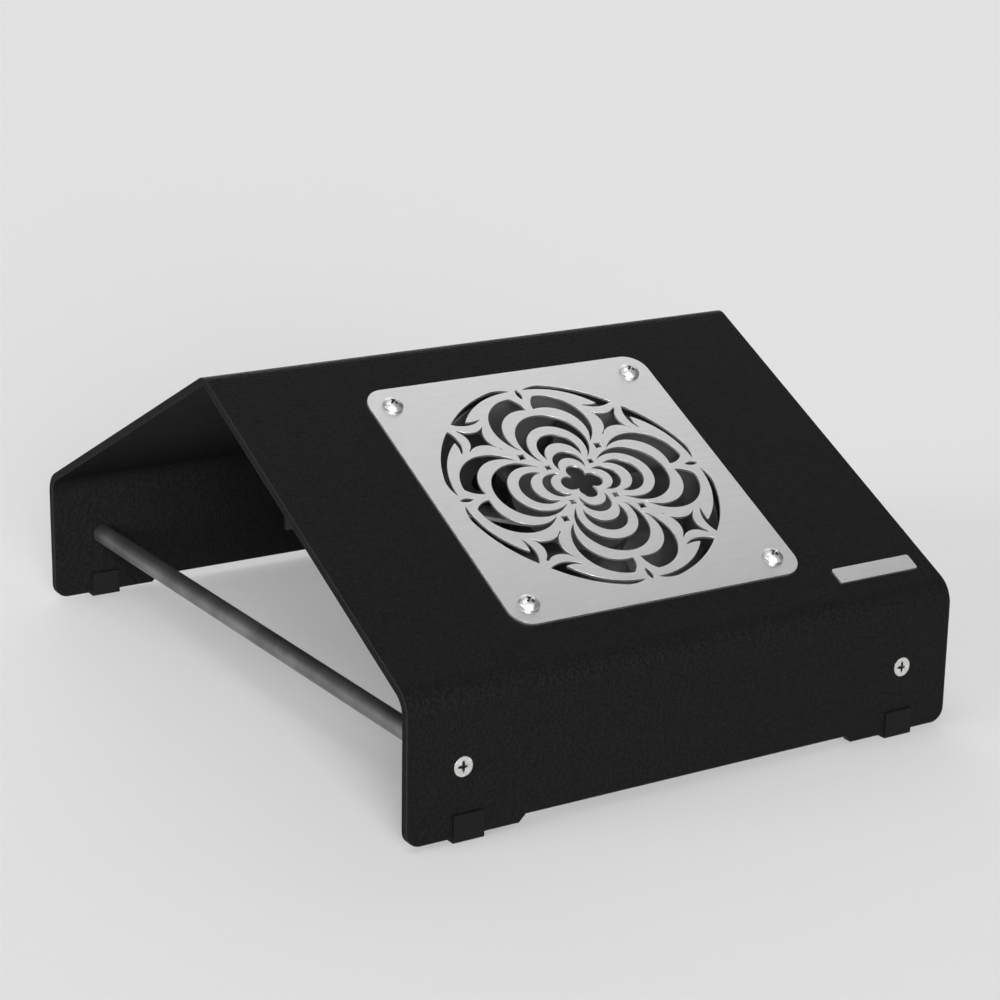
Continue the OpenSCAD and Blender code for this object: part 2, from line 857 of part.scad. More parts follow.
module power_inlet() {
    color("#1a1b1c") translate([inlet_x, rear_y, panel_z]) difference() {
        union() {
            translate([0, inlet_flange_t, 0]) rotate([90, 0, 0]) linear_extrude(inlet_flange_t)
                round_square(50, 22.5, 3);
            translate([0, -11, 0]) cube([inlet_w, 22, inlet_h], center = true);
        }
        translate([0, 3, 0]) rotate([90, 0, 0]) linear_extrude(19)
            polygon([[-12, -8], [12, -8], [12, 4], [8, 8], [-8, 8], [-12, 4]]);
        for (sx = [-1, 1]) translate([sx * inlet_screw, 0, 0]) rotate([90, 0, 0])
            cylinder(r = m3_r + 0.1, h = 12, center = true);
        inlet_pin_places(-23) cube([2.2, 20, 4.2], center = true);
    }
}

module inlet_screw_places() {
    for (sx = [-1, 1]) translate([inlet_x + sx * inlet_screw, rear_y, panel_z]) rotate([-90, 0, 0])
        children();
}

module inlet_pin_places(y) {
    for (p = [[-7, -2], [0, 2], [7, -2]]) translate([p[0], y, p[1]]) children();
}

module inlet_pins() {
    color("#c9b98a") translate([inlet_x, rear_y, panel_z]) inlet_pin_places(-14.5)
        cube([2, 27, 4], center = true);
}

module inlet_screws() {
    nut_h = 2.4;
    color("#c8cacc") inlet_screw_places() {
        translate([0, 0, inlet_flange_t]) pan_screw(2.9, 1.5, m3_r, inlet_flange_t + sheet_t + 5, 1.5);
        translate([0, 0, -sheet_t - nut_h - 0.2]) nut(5.5, nut_h, m3_r);
    }
}

// ---------------------------------------------------------------- bag

// The bag from its mouth down over its bulges, thinned by in
module bag_volume(in, top_d) {
    hull() {
        on_slope() disc(cuff_r + bag_t - in, top_d, bag_mouth_d);
        for (b = BAG_BULGES) translate(b[0]) sphere(r = b[1] - in, $fn = 28);
    }
}

module dust_bag() {
    color("#3a3c40") difference() {
        bag_volume(0, cuff_end_d);
        bag_volume(bag_t, cuff_end_d - through);
    }
}

// Elastic cuff sewn round the bag's mouth, stretched over the duct
module bag_cuff() {
    color("#2a2a2c") on_slope() ring(cuff_r + bag_t, cuff_r, cuff_top_d, cuff_end_d);
}

// ---------------------------------------------------------------- nodes

stand_panel();
grille_plate();
grille_screws();
grille_nuts();
name_plate();
foot(-119.5, 0);  // foot_front_left
foot(121, 0);  // foot_front_right
foot(121, 180);  // foot_rear_left
foot(-119, 180);  // foot_rear_right
tie_rod(-rod_x);  // tie_rod_left
tie_rod(rod_x);  // tie_rod_right
tie_rod_screws();
fan_gasket();
fan_housing();
motor_bracket();
bracket_screws();
motor_can();
motor_front_plate();
motor_screws();
stator_core();
stator_coils();
rotor_core();
motor_shaft();
bearing(can_d);  // bearing_front
bearing(can_end_d - motor_wall - bearing_w);  // bearing_rear
impeller();
impeller_nut();
lead_grommet();
motor_lead();
lead_clips();
lead_gland();
wiring_cover();
wiring_cover_screws();
terminal_block();
switch_body();
switch_rocker();
power_inlet();
inlet_pins();
inlet_screws();
dust_bag();
bag_cuff();
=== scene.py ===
"""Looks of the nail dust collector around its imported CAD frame: camera, light, materials, cloth bag."""

import math

import bmesh
import bpy
from mathutils import Matrix, Vector, noise
from mathutils.bvhtree import BVHTree
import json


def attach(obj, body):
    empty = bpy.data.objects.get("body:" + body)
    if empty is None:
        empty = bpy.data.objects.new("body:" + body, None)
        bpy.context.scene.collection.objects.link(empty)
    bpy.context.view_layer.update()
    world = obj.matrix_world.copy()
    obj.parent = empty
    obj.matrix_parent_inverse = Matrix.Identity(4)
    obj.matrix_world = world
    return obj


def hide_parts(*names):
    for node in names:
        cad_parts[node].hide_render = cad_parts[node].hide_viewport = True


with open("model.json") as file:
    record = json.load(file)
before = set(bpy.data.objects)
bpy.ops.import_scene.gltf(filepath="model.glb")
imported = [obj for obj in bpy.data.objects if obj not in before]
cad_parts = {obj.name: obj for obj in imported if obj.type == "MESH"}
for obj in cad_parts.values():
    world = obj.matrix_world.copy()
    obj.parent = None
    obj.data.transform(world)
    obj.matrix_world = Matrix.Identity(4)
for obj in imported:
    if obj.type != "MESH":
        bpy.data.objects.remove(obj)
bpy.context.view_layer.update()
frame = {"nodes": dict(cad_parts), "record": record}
scene = bpy.context.scene
nodes = frame["nodes"]

# The angle that the grille's slope makes with the table
SLOPE = math.atan2(0.098, 0.19)

# ---------------------------------------------------------------- camera

CAMERA_PLACE = Vector((-0.6681, -1.0737, 0.4697))
CAMERA_AZIMUTH = math.radians(-32.475)
CAMERA_ELEVATION = math.radians(16.918)
CAMERA_ROLL = math.radians(0.97)
CAMERA_LENS = 94.4


def make_camera():
    data = bpy.data.cameras.new("camera")
    data.lens = CAMERA_LENS
    data.sensor_width = 36
    data.clip_start = 0.05
    data.clip_end = 60
    camera = bpy.data.objects.new("camera", data)
    scene.collection.objects.link(camera)
    turn = Matrix.Rotation(CAMERA_AZIMUTH, 4, "Z") @ Matrix.Rotation(math.pi / 2 - CAMERA_ELEVATION, 4, "X")
    camera.matrix_world = Matrix.Translation(CAMERA_PLACE) @ turn @ Matrix.Rotation(CAMERA_ROLL, 4, "Z")
    scene.camera = camera


# ---------------------------------------------------------------- node trees


class Tree:
    """A material's node tree with one Principled shader, and short calls that add nodes to it."""

    def __init__(self, name, colour, roughness, metallic=0.0, **sockets):
        self.material = bpy.data.materials.new(name)
        self.material.use_nodes = True
        self.tree = self.material.node_tree
        self.shader = self.tree.nodes["Principled BSDF"]
        self.set("Base Color", (*colour, 1))
        self.set("Roughness", roughness)
        self.set("Metallic", metallic)
        for socket, value in sockets.items():
            self.set(socket.replace("_", " "), value)
        self.place = self.add("ShaderNodeTexCoord").outputs["Object"]
        self.normal = None

    def set(self, socket, value):
        self.shader.inputs[socket].default_value = value

    def add(self, kind, **values):
        node = self.tree.nodes.new(kind)
        for name, value in values.items():
            setattr(node, name, value)
        return node

    def link(self, source, socket):
        self.tree.links.new(source, socket)

    def feed(self, socket, value):
        """Puts a number, a vector or another node's output on a socket."""
        if isinstance(value, bpy.types.NodeSocket):
            self.link(value, socket)
        else:
            socket.default_value = value

    def mapped(self, scale=(1, 1, 1), turn=(0, 0, 0)):
        """Object coordinates, turned first and scaled after."""
        first = self.add("ShaderNodeMapping")
        first.inputs["Rotation"].default_value = turn
        self.link(self.place, first.inputs["Vector"])
        second = self.add("ShaderNodeVectorMath", operation="MULTIPLY")
        self.link(first.outputs["Vector"], second.inputs[0])
        second.inputs[1].default_value = scale
        return second.outputs["Vector"]

    def noise(self, scale, detail=3.0, roughness=0.55, where=None):
        node = self.add("ShaderNodeTexNoise")
        node.inputs["Scale"].default_value = scale
        node.inputs["Detail"].default_value = detail
        node.inputs["Roughness"].default_value = roughness
        self.link(where or self.place, node.inputs["Vector"])
        return node.outputs["Fac"]

    def cells(self, scale, smooth=None):
        node = self.add("ShaderNodeTexVoronoi", feature="F1" if smooth is None else "SMOOTH_F1")
        node.inputs["Scale"].default_value = scale
        if smooth is not None:
            node.inputs["Smoothness"].default_value = smooth
        self.link(self.place, node.inputs["Vector"])
        return node.outputs["Distance"]

    def math(self, operation, a, b=0.0):
        node = self.add("ShaderNodeMath", operation=operation)
        self.feed(node.inputs[0], a)
        self.feed(node.inputs[1], b)
        return node.outputs["Value"]

    def span(self, value, low, high, out_low=0.0, out_high=1.0):
        """Turns low to high into out_low to out_high, smoothly."""
        node = self.add("ShaderNodeMapRange", interpolation_type="SMOOTHSTEP")
        self.link(value, node.inputs["Value"])
        node.inputs["From Min"].default_value = low
        node.inputs["From Max"].default_value = high
        node.inputs["To Min"].default_value = out_low
        node.inputs["To Max"].default_value = out_high
        return node.outputs["Result"]

    def colours(self, value, first, second):
        """The first colour where value is 0 and the second where it is 1."""
        node = self.add("ShaderNodeMix", data_type="RGBA")
        self.link(value, node.inputs["Factor"])
        for side, tint in (("A", first), ("B", second)):
            self.feed(node.inputs[side], tint if isinstance(tint, bpy.types.NodeSocket) else (*tint, 1))
        return node.outputs["Result"]

    def axes(self, source):
        node = self.add("ShaderNodeSeparateXYZ")
        self.link(source, node.inputs["Vector"])
        return node.outputs

    def along_fan(self):
        """How far along the fan's axis, which stands square on the slope."""
        return self.axes(self.mapped(turn=(-SLOPE, 0, 0)))["Z"]

    def ripple(self, value, pitch):
        """A sine wave that repeats every pitch metres of value."""
        return self.math("SINE", self.math("MULTIPLY", value, 2 * math.pi / pitch))

    def bump(self, height, depth, strength=1.0):
        """Raises the surface by depth metres times height, on top of the bumps before it."""
        node = self.add("ShaderNodeBump")
        node.inputs["Strength"].default_value = strength
        node.inputs["Distance"].default_value = depth
        self.link(height, node.inputs["Height"])
        if self.normal is not None:
            self.link(self.normal, node.inputs["Normal"])
        self.normal = node.outputs["Normal"]

    def soft_edges(self, radius):
        """Rounds sharp edges in the shading, as a coat or a tumbled edge does."""
        node = self.add("ShaderNodeBevel", samples=4)
        node.inputs["Radius"].default_value = radius
        self.normal = node.outputs["Normal"]

    def edges(self, reach):
        """1 on sharp edges and 0 on the flat, over about reach metres."""
        soft = self.add("ShaderNodeBevel", samples=4)
        soft.inputs["Radius"].default_value = reach
        turn = self.add("ShaderNodeVectorMath", operation="DOT_PRODUCT")
        self.link(soft.outputs["Normal"], turn.inputs[0])
        self.link(self.add("ShaderNodeNewGeometry").outputs["True Normal"], turn.inputs[1])
        return self.span(turn.outputs["Value"], 0.99, 0.88)

    def openness(self, reach):
        """1 in the open and 0 deep in a recess narrower than reach metres."""
        node = self.add("ShaderNodeAmbientOcclusion", samples=8)
        node.inputs["Distance"].default_value = reach
        return node.outputs["AO"]

    def colour(self, value):
        self.link(value, self.shader.inputs["Base Color"])

    def rough(self, value):
        self.link(value, self.shader.inputs["Roughness"])

    def done(self):
        if self.normal is not None:
            self.link(self.normal, self.shader.inputs["Normal"])
        return self.material


# ---------------------------------------------------------------- materials


def powder_coat():
    """Black powder coat with the fine leathery grain of a textured finish, and a painted highlight on its
    sharp edges.
    """
    t = Tree("powder_coat", (0.006, 0.006, 0.0063), 0.6, Specular_IOR_Level=0.05)
    t.soft_edges(0.0007)
    grain = t.cells(640, smooth=0.35)
    wrinkle = t.noise(1100, 2, 0.6)
    relief = t.math("ADD", t.math("MULTIPLY", grain, 0.7), t.math("MULTIPLY", wrinkle, 0.6))
    t.bump(relief, 0.0006, 0.7)
    flat = t.colours(t.span(relief, 0.3, 0.85), (0.0049, 0.0049, 0.0051), (0.0028, 0.0028, 0.0029))
    # Painted highlight: the colour is lighter along the sheet's sharp edges.
    t.colour(t.colours(t.edges(0.001), flat, (0.019, 0.019, 0.0195)))
    t.rough(t.span(t.noise(25, 4, 0.6), 0.3, 0.7, 0.59, 0.62))
    return t.done()


def brushed_plate():
    """Brushed stainless sheet, its short fine lines across the slope."""
    t = Tree("brushed_plate", (0.74, 0.74, 0.735), 0.36, 1.0)
    t.soft_edges(0.00012)
    lines = t.noise(1, 4, 0.75, t.mapped((90, 2600, 2600), (-SLOPE, 0, 0)))
    broad = t.noise(1, 3, 0.6, t.mapped((30, 420, 420), (-SLOPE, 0, 0)))
    t.bump(lines, 0.00004, 0.5)
    tone = t.math("ADD", t.math("MULTIPLY", lines, 0.65), t.math("MULTIPLY", broad, 0.35))
    t.colour(t.colours(t.span(tone, 0.32, 0.68), (0.765, 0.765, 0.76), (0.83, 0.83, 0.825)))
    t.rough(t.span(lines, 0.25, 0.75, 0.32, 0.42))
    return t.done()


def shade(colour, factor):
    return tuple(factor * c for c in colour)


def polished(name, colour, roughness, scratch, recess_shade=0.04):
    """Bright plated or turned metal with faint handling marks, and painted shade deep in its recesses."""
    t = Tree(name, colour, roughness, 1.0)
    t.soft_edges(0.00015)
    haze = t.noise(420, 4, 0.6)
    t.bump(t.noise(1500, 3, 0.6), 0.00001, scratch)
    bright = t.colours(t.span(haze, 0.3, 0.7), shade(colour, 0.9), colour)
    # Painted shade: the colour darkens deep in recesses such as the screws' cross slots, where shade falls.
    t.colour(t.colours(t.span(t.openness(0.003), 0.4, 0.82), shade(colour, recess_shade), bright))
    t.rough(t.span(haze, 0.25, 0.75, roughness * 0.8, roughness * 1.35))
    return t.done()


def rod_steel():
    """Drawn steel bar, its fine lines along the rod."""
    t = Tree("rod_steel", (0.26, 0.26, 0.265), 0.5, 1.0)
    lines = t.noise(1, 4, 0.65, t.mapped((2600, 14, 2600)))
    t.bump(lines, 0.00002, 0.4)
    t.colour(t.colours(t.span(t.noise(30, 4), 0.3, 0.7), (0.11, 0.11, 0.112), (0.2, 0.2, 0.203)))
    t.rough(t.span(lines, 0.2, 0.8, 0.44, 0.56))
    return t.done()


def matt(name, colour, roughness, grain, depth, **sockets):
    """Rubber or moulded plastic with a spark-eroded grain."""
    t = Tree(name, colour, roughness, **sockets)
    t.soft_edges(0.0004)
    t.bump(t.noise(grain, 4, 0.6), depth, 0.5)
    t.bump(t.noise(90, 2), depth * 2, 0.25)
    t.colour(t.colours(t.span(t.noise(55, 4), 0.3, 0.7), shade(colour, 0.85), shade(colour, 1.12)))
    t.rough(t.span(t.noise(grain / 6, 3), 0.3, 0.7, roughness * 0.9, min(1.0, roughness * 1.12)))
    return t.done()


def foam():
    """Closed-cell foam, its cut cells showing on the edge."""
    t = Tree("foam", (0.035, 0.035, 0.037), 0.9, Specular_IOR_Level=0.25)
    pores = t.cells(1300)
    t.bump(pores, 0.0003, 0.8)
    t.colour(t.colours(t.span(pores, 0.1, 0.6), (0.02, 0.02, 0.021), (0.05, 0.05, 0.052)))
    return t.done()


def duct_metal():
    """Rolled sheet with a dark satin coat inside and out."""
    t = Tree("duct_metal", (0.05, 0.05, 0.051), 0.36, 0.0, Specular_IOR_Level=0.5)
    t.bump(t.noise(700, 3, 0.6), 0.00008, 0.4)
    t.colour(t.colours(t.span(t.noise(40, 4), 0.3, 0.7), (0.04, 0.04, 0.041), (0.06, 0.06, 0.061)))
    t.rough(t.span(t.noise(70, 3), 0.3, 0.7, 0.3, 0.42))
    return t.done()


def bracket_steel():
    """Zinc-plated strip with a faint crystalline bloom."""
    t = Tree("bracket_steel", (0.4, 0.41, 0.42), 0.38, 1.0)
    bloom = t.cells(260)
    t.bump(t.noise(900, 3), 0.00003, 0.4)
    t.colour(t.colours(t.span(bloom, 0.1, 0.7), (0.36, 0.37, 0.38), (0.46, 0.465, 0.47)))
    t.rough(t.span(t.noise(120, 4), 0.3, 0.7, 0.32, 0.46))
    return t.done()


def motor_shell():
    """Drawn can with satin paint, slightly orange-peeled."""
    t = Tree("motor_shell", (0.07, 0.073, 0.078), 0.42, Specular_IOR_Level=0.5)
    t.bump(t.noise(380, 2), 0.00012, 0.5)
    t.colour(t.colours(t.span(t.noise(60, 4), 0.3, 0.7), (0.06, 0.063, 0.068), (0.08, 0.083, 0.088)))
    t.rough(t.span(t.noise(90, 3), 0.3, 0.7, 0.37, 0.48))
    return t.done()


def banded(name, dark, light, metallic, roughness, pitch, depth):
    """Thin layers stacked along the fan's axis, as in a laminated core."""
    t = Tree(name, light, roughness, metallic)
    level = t.span(t.ripple(t.along_fan(), pitch), -1, 0.2)
    t.bump(level, depth, 0.8)
    t.colour(t.colours(t.math("MULTIPLY", level, t.span(t.noise(600, 4), 0.2, 0.8, 0.6, 1)), dark, light))
    return t.done()


def coil():
    """Enamelled copper wire wound in close turns."""
    t = Tree("coil", (0.45, 0.2, 0.08), 0.3, 1.0, Coat_Weight=0.6, Coat_Roughness=0.15)
    t.bump(t.span(t.ripple(t.along_fan(), 0.0007), -1, 1), 0.0003, 0.9)
    t.colour(t.colours(t.span(t.noise(500, 3), 0.3, 0.7), (0.34, 0.13, 0.045), (0.52, 0.24, 0.1)))
    return t.done()


# Two threads of the bag's weave, after which it repeats
WEAVE_PITCH = 0.0022


def bag_cloth():
    """Plain-woven black polyester: threads over and under at right angles, with a soft sheen."""
    t = Tree("bag_cloth", (0.02, 0.021, 0.024), 0.85, Sheen_Weight=0.35, Sheen_Roughness=0.4,
             Specular_IOR_Level=0.2)
    side = t.axes(t.add("ShaderNodeUVMap").outputs["UV"])
    warp = t.ripple(side["X"], WEAVE_PITCH)
    weft = t.ripple(side["Y"], WEAVE_PITCH)
    over = t.span(t.math("MULTIPLY", warp, weft), -0.3, 0.3)
    threads = t.math("MAXIMUM", t.math("MULTIPLY", t.math("ABSOLUTE", warp), over),
                     t.math("MULTIPLY", t.math("ABSOLUTE", weft), t.math("SUBTRACT", 1.0, over)))
    t.bump(threads, 0.00018, 0.8)
    t.bump(t.noise(2600, 2), 0.00005, 0.4)
    tint = t.math("MULTIPLY", t.span(threads, 0.1, 0.9), t.span(t.noise(28, 4), 0.3, 0.7, 0.7, 1))
    t.colour(t.colours(tint, (0.011, 0.0115, 0.013), (0.033, 0.034, 0.038)))
    return t.done()


def elastic():
    """Knitted elastic band with ribs round it."""
    t = Tree("elastic", (0.016, 0.016, 0.018), 0.8, Sheen_Weight=0.3, Sheen_Roughness=0.4,
             Specular_IOR_Level=0.25)
    ribs = t.math("ABSOLUTE", t.ripple(t.along_fan(), 0.0028))
    t.bump(ribs, 0.00035, 0.8)
    t.bump(t.noise(2200, 2), 0.00008, 0.5)
    t.colour(t.colours(ribs, (0.008, 0.008, 0.009), (0.022, 0.022, 0.024)))
    return t.done()


MATERIALS = {
    "powder_coat": powder_coat,
    "brushed_plate": brushed_plate,
    "chrome_screw": lambda: polished("chrome_screw", (0.55, 0.55, 0.55), 0.42, 0.3, 0.12),
    "zinc_screw": lambda: polished("zinc_screw", (0.7, 0.7, 0.68), 0.34, 0.5),
    "rod_steel": rod_steel,
    "foot_rubber": lambda: matt("foot_rubber", (0.0024, 0.0024, 0.0025), 0.65, 1100, 0.0001,
                                Specular_IOR_Level=0.1),
    "foam": foam,
    "duct_metal": duct_metal,
    "bracket_steel": bracket_steel,
    "motor_shell": motor_shell,
    "lamination": lambda: banded("lamination", (0.06, 0.06, 0.062), (0.26, 0.26, 0.27), 0.9, 0.5,
                                 0.0005, 0.0001),
    "coil": coil,
    "bright_steel": lambda: polished("bright_steel", (0.6, 0.6, 0.61), 0.22, 0.4),
    "fan_plastic": lambda: matt("fan_plastic", (0.011, 0.0112, 0.0118), 0.42, 800, 0.00006),
    "dark_plastic": lambda: matt("dark_plastic", (0.016, 0.016, 0.0175), 0.48, 1200, 0.00008),
    "gloss_black": lambda: matt("gloss_black", (0.008, 0.008, 0.009), 0.16, 300, 0.00002),
    "terminal_plastic": lambda: matt("terminal_plastic", (0.62, 0.58, 0.5), 0.45, 700, 0.00005,
                                     Subsurface_Weight=0.1),
    "contact_brass": lambda: polished("contact_brass", (0.62, 0.5, 0.27), 0.24, 0.4),
    "lead_sheath": lambda: matt("lead_sheath", (0.014, 0.014, 0.015), 0.4, 900, 0.00006),
    "bag_cloth": bag_cloth,
    "elastic": elastic,
    "thread": lambda: matt("thread", (0.05, 0.05, 0.054), 0.7, 2400, 0.00004, Sheen_Weight=0.3),
}


def dress_nodes(materials):
    """Gives each CAD node the finish of its slot."""
    slots = {entry["node"]: entry["material_slot"] for entry in frame["record"]["subparts"]}
    for name, piece in nodes.items():
        finish = materials[slots[name]]
        if not piece.material_slots:
            piece.data.materials.append(finish)
        for place in piece.material_slots:
            place.material = finish


# ---------------------------------------------------------------- bag

# The grille's middle on the slope, the bag's mouth on the duct, and the bag's middle and lowest place
SLOPE_MIDDLE = Vector((0, -0.095, 0.1185))
MOUTH_R = 0.0721
MOUTH_DEPTH = 0.0757
BAG_HEART = Vector((0.016, -0.046, 0.032))
BAG_FOOT = Vector((0.016, -0.05, 0.0))
# The bag's net: its columns and rows, those that carry a seam, and the rays that find the CAD bag's wall
ROUND = 240
DOWN = 72
HELD_ROWS = 2
GIRTH_ROW = 22
SEAM_ROW = 50
SEAM_COLUMN = ROUND // 4 + 14
RAYS = 4 * DOWN
FIRST_RAY = 7
# Pleats, folds and creases, and the cloth that they are made in
PLEATS = 34
PLEAT_DEEP = 0.0026
SLACK_DEEP = 0.0065
CREASE_DEEP = 0.0022
CLOTH_INSET = 0.0008
CLOTH_T = 0.0006
LOWEST_CLOTH = 0.0014
EASE_FRAMES = 16
MOST_EASE = 0.006
# Stitches, the piping round the bottom panel, and the binding down the back
STITCH_PITCH = 0.0034
STITCH_R = 0.00028
STITCH_RISES = (-0.0002, 0.0001, 0.0001, -0.0002)
STITCH_LIFT = 0.0001
PIPING_R = 0.0013
BINDING_HALF = 2
BINDING_PROUD = 0.0009
BINDING_EDGE = 0.0001
# The elastic cuff
CUFF_TURNS = 480
CUFF_STEPS = 24
CUFF_TOP = 0.0655
CUFF_DEEP = 0.0105
CUFF_IN_R = 0.0715
CUFF_OUT_R = 0.0724
CUFF_CHANNELS = 3
CUFF_CHANNEL_PROUD = 0.0006
CUFF_PUCKERS = 74
CUFF_FRILLS = 37
CUFF_FRILL_OUT = 0.0006
CUFF_FRILL_STEPS = 5
CUFF_STITCH_LIFT = 0.0002


def on_slope(across, up, depth):
    """The place across and up the grille's slope, at a depth below its outer face."""
    return SLOPE_MIDDLE + Matrix.Rotation(SLOPE, 3, "X") @ Vector((across, up, -depth))


def on_mouth(turn, radius, depth):
    """The place at an angle and a radius about the fan's axis, at a depth below the slope."""
    return on_slope(radius * math.cos(turn), radius * math.sin(turn), depth)


def new_piece(name, points, faces, slot, finish):
    """A smooth mesh that rides on the frame. Its slot argument is not used."""
    mesh = bpy.data.meshes.new(name)
    mesh.from_pydata([tuple(p) for p in points], [], faces)
    mesh.materials.append(finish)
    for face in mesh.polygons:
        face.use_smooth = True
    piece = bpy.data.objects.new(name, mesh)
    scene.collection.objects.link(piece)
    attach(piece, "frame")
    return piece


def smoothed(rows, passes):
    """Evens out a net of rows that close on themselves, with its first and last rows held."""
    for _ in range(passes):
        old = [[p.copy() for p in row] for row in rows]
        for j in range(1, len(rows) - 1):
            for i in range(ROUND):
                around = old[j][i - 1] + old[j][(i + 1) % ROUND] + old[j - 1][i] + old[j + 1][i]
                rows[j][i] = old[j][i].lerp(around / 4, 0.6)
    return rows


def bag_net():
    """Rows from the mouth down to the foot, on the inner side of the CAD bag's wall."""
    mesh = nodes["dust_bag"].data
    wall = BVHTree.FromPolygons([v.co for v in mesh.vertices], [tuple(f.vertices) for f in mesh.polygons])
    down = (BAG_FOOT - BAG_HEART).normalized()
    columns = []
    for i in range(ROUND):
        rim = on_mouth(2 * math.pi * i / ROUND, MOUTH_R, MOUTH_DEPTH)
        path = [rim]
        for j in range(FIRST_RAY, RAYS):
            towards = (rim - BAG_HEART).normalized().slerp(down, j / RAYS)
            found = wall.ray_cast(BAG_HEART, towards)[0]
            if found is not None:
                path.append(found)
        columns.append(even_steps(path, DOWN))
    return smoothed([[column[j] for column in columns] for j in range(DOWN)], 12)


def even_steps(path, count):
    """The same path at count points, the same distance apart."""
    reach = [0.0]
    for a, b in zip(path, path[1:]):
        reach.append(reach[-1] + (b - a).length)
    places, k = [], 0
    for j in range(count):
        goal = reach[-1] * j / (count - 1)
        while k < len(path) - 2 and reach[k + 1] < goal:
            k += 1
        share = (goal - reach[k]) / max(reach[k + 1] - reach[k], 1e-9)
        places.append(path[k].lerp(path[k + 1], min(1.0, share)))
    return places


def fold_depth(turn, fall):
    """How far the cloth stands in: pleats gathered at the mouth, long slack folds, and creases."""
    warp = PLEATS * turn + 1.5 * math.sin(5 * turn + 0.6) + 1.1 * math.sin(9 * turn + 2.1)
    pleat = 0.5 - 0.5 * math.cos(warp)
    held = min(1.0, fall / 0.05)
    gathered = PLEAT_DEEP * pleat * held * math.exp(-fall / 0.16)
    ring = Vector((2.6 * math.cos(turn), 2.6 * math.sin(turn), 1.7 * fall))
    slack = SLACK_DEEP * abs(noise.noise(ring)) * min(1.0, fall / 0.2) * (1.15 - fall)
    crease = CREASE_DEEP * abs(noise.noise(Vector((7 * math.cos(turn), 7 * math.sin(turn), 5 * fall))))
    return gathered + slack + crease * held


def settle(piece, pinned):
    """Lets the cloth ease under a little air pressure with its mouth held, and keeps the result."""
    group = piece.vertex_groups.new(name="held")
    group.add(pinned, 1.0, "REPLACE")
    before = [v.co.copy() for v in piece.data.vertices]
    cloth = piece.modifiers.new("cloth", "CLOTH")
    values = {"quality": 6, "mass": 0.25, "tension_stiffness": 12, "compression_stiffness": 12,
              "bending_stiffness": 0.4, "shrink_min": -0.035, "vertex_group_mass": "held",
              "use_pressure": True, "uniform_pressure_force": 1.2}
    for name, value in values.items():
        setattr(cloth.settings, name, value)
    cloth.settings.effector_weights.gravity = 0.15
    cloth.point_cache.frame_start = 1
    cloth.point_cache.frame_end = EASE_FRAMES
    for step in range(1, EASE_FRAMES + 1):
        scene.frame_set(step)
    ready = piece.evaluated_get(bpy.context.evaluated_depsgraph_get())
    after = [v.co.copy() for v in ready.data.vertices]
    piece.modifiers.remove(cloth)
    piece.vertex_groups.remove(group)
    scene.frame_set(1)
    for vertex, old, new in zip(piece.data.vertices, before, after):
        step = new - old
        step.length = min(step.length, MOST_EASE)
        vertex.co = old + step


def keep_inside(piece, net):
    """Brings back any point that went out past the CAD bag's wall or down past its foot."""
    for vertex, limit in zip(piece.data.vertices, [p for row in net for p in row]):
        out = limit - BAG_HEART
        past = (vertex.co - BAG_HEART).length - out.length - CLOTH_INSET
        if past > 0:
            vertex.co -= out.normalized() * past
        vertex.co.z = max(vertex.co.z, LOWEST_CLOTH)


def bag_uv(mesh, net):
    """The weave's own metres: round and down on the side, straight across on the bottom panel."""
    drops = [0.0]
    for j in range(1, DOWN):
        drops.append(drops[-1] + sum((a - b).length for a, b in zip(net[j], net[j - 1])) / ROUND)
    widest = net[GIRTH_ROW]
    girth = sum((a - b).length for a, b in zip(widest, widest[1:] + widest[:1]))
    layer = mesh.uv_layers.new(name="UVMap")
    for face in mesh.polygons:
        row, column = divmod(face.index, ROUND)
        for loop in face.loop_indices:
            vertex = mesh.loops[loop].vertex_index
            if row >= SEAM_ROW:
                layer.data[loop].uv = mesh.vertices[vertex].co.xy
            else:
                i = column + (vertex % ROUND != column)
                layer.data[loop].uv = (girth * i / ROUND, drops[vertex // ROUND])


def make_bag(finish):
    """The bag's cloth, and its net of places after it has eased."""
    net = bag_net()
    points = []
    for j, row in enumerate(net):
        for i, place in enumerate(row):
            inward = (BAG_HEART - place).normalized()
            points.append(place + inward * fold_depth(2 * math.pi * i / ROUND, j / (DOWN - 1)))
    faces = []
    for j in range(DOWN - 2):
        for i in range(ROUND):
            k = (i + 1) % ROUND
            faces.append((j * ROUND + i, (j + 1) * ROUND + i, (j + 1) * ROUND + k, j * ROUND + k))
    # The last row has shrunk to the foot: one point closes the row before it
    points = points[:(DOWN - 1) * ROUND]
    last = (DOWN - 2) * ROUND
    foot = len(points)
    points.append(sum(points[last:], Vector()) / ROUND)
    faces += [(last + i, foot, last + (i + 1) % ROUND) for i in range(ROUND)]
    bag = new_piece("dust_bag_cloth", points, faces, "bag_cloth", finish)
    settle(bag, list(range(HELD_ROWS * ROUND)))
    keep_inside(bag, net)
    bag_uv(bag.data, net)
    rows = [[bag.data.vertices[j * ROUND + i].co.copy() for i in range(ROUND)] for j in range(DOWN - 1)]
    thick = bag.modifiers.new("thickness", "SOLIDIFY")
    thick.thickness = CLOTH_T
    thick.offset = -1
    return bag, rows


